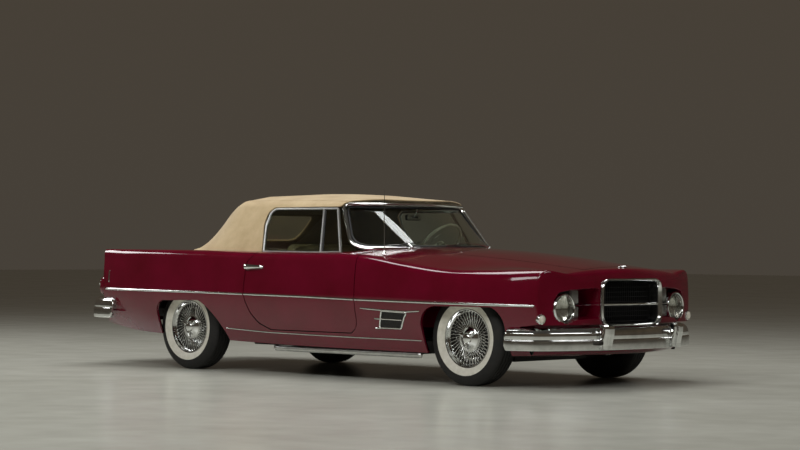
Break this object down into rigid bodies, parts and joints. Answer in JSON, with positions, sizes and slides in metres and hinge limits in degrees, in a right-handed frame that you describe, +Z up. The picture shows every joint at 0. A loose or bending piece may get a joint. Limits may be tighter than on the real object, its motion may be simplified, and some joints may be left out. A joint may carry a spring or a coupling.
{
  "type": "1950s convertible car",
  "caption": "Two-door 1950s convertible with its cloth top up, low rear fins, bowed chrome bumpers, an oval grille mouth and wire wheels.",
  "frame": {"origin": "centre of the bounding box's foot, on the ground below the middle of the car", "axes": "+X forward, +Y to the car's left, +Z up"},
  "size_m": [5.17, 1.98, 1.3838],
  "materials": {
    "paint": "gloss",
    "chassis_paint": "satin",
    "chrome": "polished",
    "canvas": "woven",
    "glass": "clear",
    "lamp_glass": "clear",
    "red_glass": "clear",
    "tyre": "matt",
    "iron": "rough",
    "steel": "satin",
    "leather": "satin",
    "ivory": "gloss",
    "black": "matt"
  },
  "bodies": {
    "body": {"front_fender_left": "paint", "front_fender_right": "paint", "nose_panel": "paint", "cowl_and_bulkhead": "paint", "rear_quarter_left": "paint", "rear_quarter_right": "paint", "rear_deck": "paint", "floor_and_sills": "chassis_paint", "chassis_frame": "chassis_paint", "engine_block": "iron", "front_suspension": "iron", "rear_axle": "iron", "exhaust": "steel", "fuel_tank": "steel", "windscreen_frame": "chrome", "windscreen_glass": "glass", "soft_top": "canvas", "grille": "chrome", "radiator": "black", "cove_grilles": "chrome", "headlamps": "lamp_glass", "parking_lamps": "lamp_glass", "tail_lamps": "red_glass", "front_bumper": "chrome", "rear_bumper": "chrome", "front_seat": "leather", "rear_seat": "leather", "dashboard": "paint"},
    "door_left": {"door_left": "paint", "door_window_left": "glass"},
    "door_right": {"door_right": "paint", "door_window_right": "glass"},
    "bonnet": {"bonnet": "paint"},
    "boot_lid": {"boot_lid": "paint"},
    "steering_wheel": {"steering_wheel": "ivory"},
    "knuckle_left": {"knuckle_left": "iron"},
    "knuckle_right": {"knuckle_right": "iron"},
    "wheel_front_left": {"tyre_front_left": "tyre", "wheel_front_left": "chrome"},
    "wheel_front_right": {"tyre_front_right": "tyre", "wheel_front_right": "chrome"},
    "wheel_rear_left": {"tyre_rear_left": "tyre", "wheel_rear_left": "chrome"},
    "wheel_rear_right": {"tyre_rear_right": "tyre", "wheel_rear_right": "chrome"}
  },
  "joints": [
    {"name": "door_left_hinge", "type": "hinge", "parent": "body", "child": "door_left", "pos_m": [0.685, 0.99, 0.6], "axis": [0, 0, -1], "range_deg": [0, 65]},
    {"name": "door_right_hinge", "type": "hinge", "parent": "body", "child": "door_right", "pos_m": [0.685, -0.99, 0.6], "axis": [0, 0, 1], "range_deg": [0, 65]},
    {"name": "bonnet_hinge", "type": "hinge", "parent": "body", "child": "bonnet", "pos_m": [0.877, 0, 0.965], "axis": [0, -1, 0], "range_deg": [0, 50]},
    {"name": "boot_lid_hinge", "type": "hinge", "parent": "body", "child": "boot_lid", "pos_m": [-1.637, 0, 0.928], "axis": [0, 1, 0], "range_deg": [0, 60]},
    {"name": "left_steer", "type": "hinge", "parent": "body", "child": "knuckle_left", "pos_m": [1.645, 0.65, 0.334], "axis": [0, 0, 1], "range_deg": [-30, 30]},
    {"name": "right_steer", "type": "hinge", "parent": "body", "child": "knuckle_right", "pos_m": [1.645, -0.65, 0.334], "axis": [0, 0, 1], "range_deg": [-30, 30]},
    {"name": "steering_wheel_turn", "type": "hinge", "parent": "body", "child": "steering_wheel", "pos_m": [0.262, 0.4, 0.985], "axis": [-0.7856, 0, 0.6188], "range_deg": [-480, 480]},
    {"name": "front_left_roll", "type": "hinge", "parent": "knuckle_left", "child": "wheel_front_left", "pos_m": [1.645, 0.761, 0.334], "axis": [0, 1, 0], "continuous": true},
    {"name": "front_right_roll", "type": "hinge", "parent": "knuckle_right", "child": "wheel_front_right", "pos_m": [1.645, -0.761, 0.334], "axis": [0, 1, 0], "continuous": true},
    {"name": "rear_left_roll", "type": "hinge", "parent": "body", "child": "wheel_rear_left", "pos_m": [-1.276, 0.761, 0.334], "axis": [0, 1, 0], "continuous": true},
    {"name": "rear_right_roll", "type": "hinge", "parent": "body", "child": "wheel_rear_right", "pos_m": [-1.276, -0.761, 0.334], "axis": [0, 1, 0], "continuous": true}
  ],
  "couplings": [
    {"joint": "right_steer", "follows": "left_steer", "ratio": 1},
    {"joint": "steering_wheel_turn", "follows": "left_steer", "ratio": 16}
  ]
}
